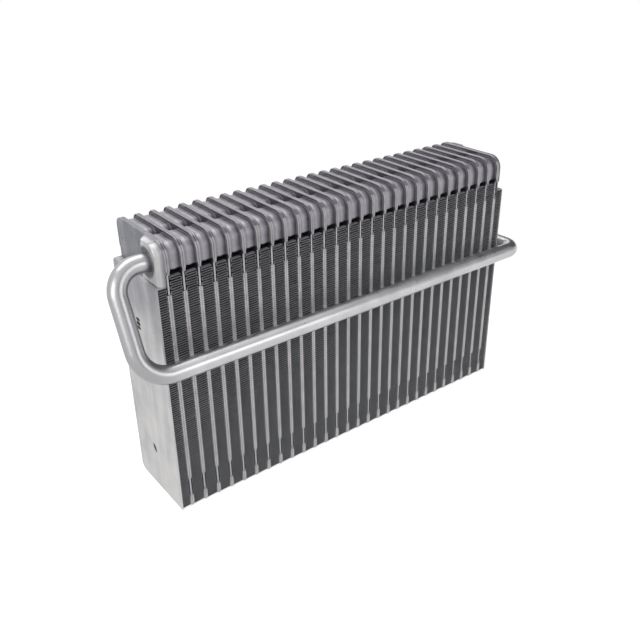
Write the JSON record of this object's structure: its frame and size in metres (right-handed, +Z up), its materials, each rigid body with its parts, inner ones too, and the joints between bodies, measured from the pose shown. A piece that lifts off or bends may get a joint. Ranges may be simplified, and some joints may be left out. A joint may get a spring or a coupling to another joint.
{
  "type": "air conditioning evaporator core",
  "caption": "Laminated aluminium cooling core of flat plate tubes and folded fins, with a stacked-cup tank on top and a bent pipe across its front.",
  "frame": {"origin": "on the surface that the core stands on, under the middle of the box round the whole part with its pipes", "axes": "+X from the end with the sloping pipe leg to the other end, across the tubes; +Y from the front face with the crossing pipe to the back; +Z up the tubes to the tank"},
  "size_m": [0.3715, 0.0863, 0.202],
  "materials": {
    "tube_aluminium": "brazed pressed sheet, satin grey",
    "fin_aluminium": "dull grey coated foil",
    "panel_aluminium": "matt rolled sheet",
    "pipe_aluminium": "drawn tube, half bright"
  },
  "bodies": {
    "root": {"tube_01": "tube_aluminium", "tube_02": "tube_aluminium", "tube_03": "tube_aluminium", "tube_04": "tube_aluminium", "tube_05": "tube_aluminium", "tube_06": "tube_aluminium", "tube_07": "tube_aluminium", "tube_08": "tube_aluminium", "tube_09": "tube_aluminium", "tube_10": "tube_aluminium", "tube_11": "tube_aluminium", "tube_12": "tube_aluminium", "tube_13": "tube_aluminium", "tube_14": "tube_aluminium", "tube_15": "tube_aluminium", "tube_16": "tube_aluminium", "tube_17": "tube_aluminium", "tube_18": "tube_aluminium", "tube_19": "tube_aluminium", "tube_20": "tube_aluminium", "tube_21": "tube_aluminium", "tube_22": "tube_aluminium", "tube_23": "tube_aluminium", "tube_24": "tube_aluminium", "tube_25": "tube_aluminium", "tube_26": "tube_aluminium", "tube_27": "tube_aluminium", "tube_28": "tube_aluminium", "fin_01": "fin_aluminium", "fin_02": "fin_aluminium", "fin_03": "fin_aluminium", "fin_04": "fin_aluminium", "fin_05": "fin_aluminium", "fin_06": "fin_aluminium", "fin_07": "fin_aluminium", "fin_08": "fin_aluminium", "fin_09": "fin_aluminium", "fin_10": "fin_aluminium", "fin_11": "fin_aluminium", "fin_12": "fin_aluminium", "fin_13": "fin_aluminium", "fin_14": "fin_aluminium", "fin_15": "fin_aluminium", "fin_16": "fin_aluminium", "fin_17": "fin_aluminium", "fin_18": "fin_aluminium", "fin_19": "fin_aluminium", "fin_20": "fin_aluminium", "fin_21": "fin_aluminium", "fin_22": "fin_aluminium", "fin_23": "fin_aluminium", "fin_24": "fin_aluminium", "fin_25": "fin_aluminium", "fin_26": "fin_aluminium", "fin_27": "fin_aluminium", "end_fins": "fin_aluminium", "left_end_panel": "panel_aluminium", "right_end_panel": "panel_aluminium", "crossover_pipe": "pipe_aluminium", "outlet_pipe": "pipe_aluminium"}
  },
  "joints": []
}
